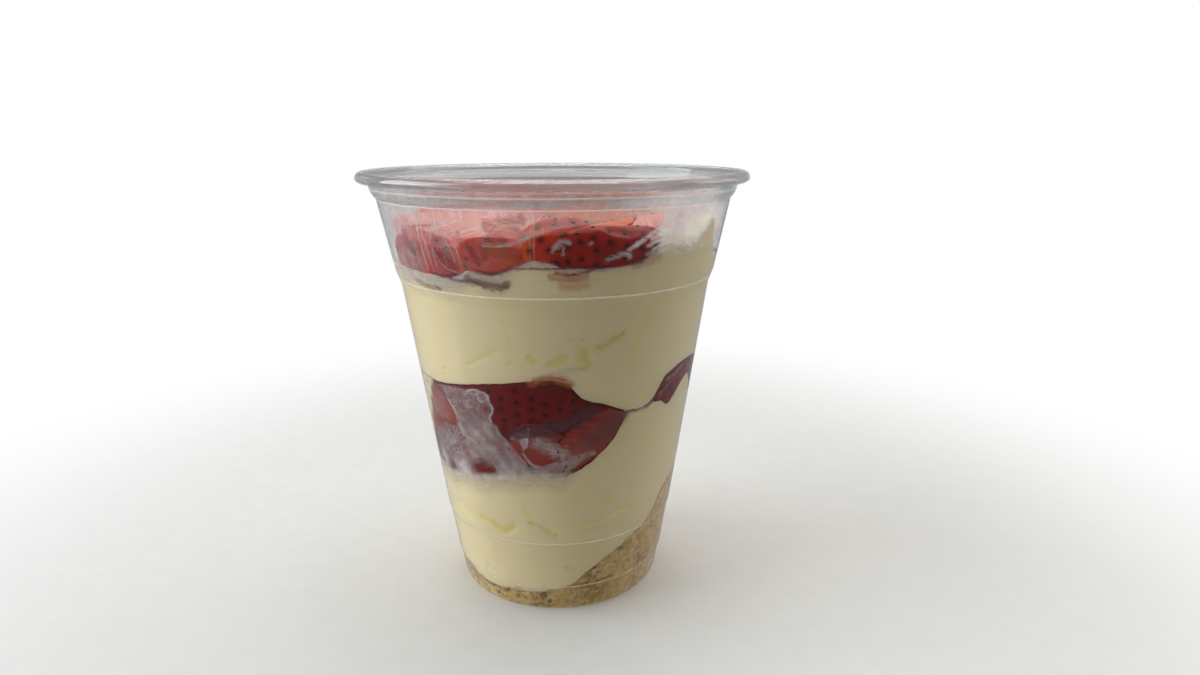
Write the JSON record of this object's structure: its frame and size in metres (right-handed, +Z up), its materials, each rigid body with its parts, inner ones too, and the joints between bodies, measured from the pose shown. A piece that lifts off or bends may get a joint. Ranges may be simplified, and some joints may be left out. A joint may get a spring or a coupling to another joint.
{
  "type": "strawberry dessert cup",
  "caption": "Clear plastic cup filled with biscuit crumbs, layers of pale custard cream and strawberry pieces, and topped with a heap of cut strawberries.",
  "frame": {"origin": "middle of the cup's foot, on the plane that it stands on", "axes": "+Z up, along the cup's axis, with the side that the picture shows towards -Y and its right towards +X"},
  "size_m": [0.098, 0.098, 0.1099],
  "materials": {
    "clear_plastic": "clear, glossy thermoformed plastic",
    "crumb": "matte, coarse golden-brown biscuit crumb",
    "cream": "smooth, satin pale yellow custard cream",
    "strawberry": "wet, glossy strawberry, red skin with sunken seeds and paler red cut faces"
  },
  "bodies": {
    "root": {"cup": "clear_plastic", "biscuit_crumb": "crumb", "cream_lower": "cream", "cream_upper": "cream", "filling_core": "strawberry", "band_berry_1": "strawberry", "band_berry_2": "strawberry", "band_berry_3": "strawberry", "band_berry_4": "strawberry", "band_berry_5": "strawberry", "band_berry_6": "strawberry", "band_berry_7": "strawberry", "band_berry_8": "strawberry", "band_berry_9": "strawberry", "band_berry_10": "strawberry", "band_berry_11": "strawberry", "band_berry_12": "strawberry", "band_berry_13": "strawberry", "band_berry_14": "strawberry", "band_berry_15": "strawberry", "band_berry_16": "strawberry", "top_berry_1": "strawberry", "top_berry_2": "strawberry", "top_berry_3": "strawberry", "top_berry_4": "strawberry", "top_berry_5": "strawberry", "top_berry_6": "strawberry", "top_berry_7": "strawberry", "top_berry_8": "strawberry", "top_berry_9": "strawberry", "top_berry_10": "strawberry", "top_berry_11": "strawberry", "top_berry_12": "strawberry", "top_berry_13": "strawberry", "top_berry_14": "strawberry", "top_berry_15": "strawberry", "top_berry_16": "strawberry", "top_berry_17": "strawberry", "top_berry_18": "strawberry", "top_berry_19": "strawberry", "top_berry_20": "strawberry"}
  },
  "joints": []
}
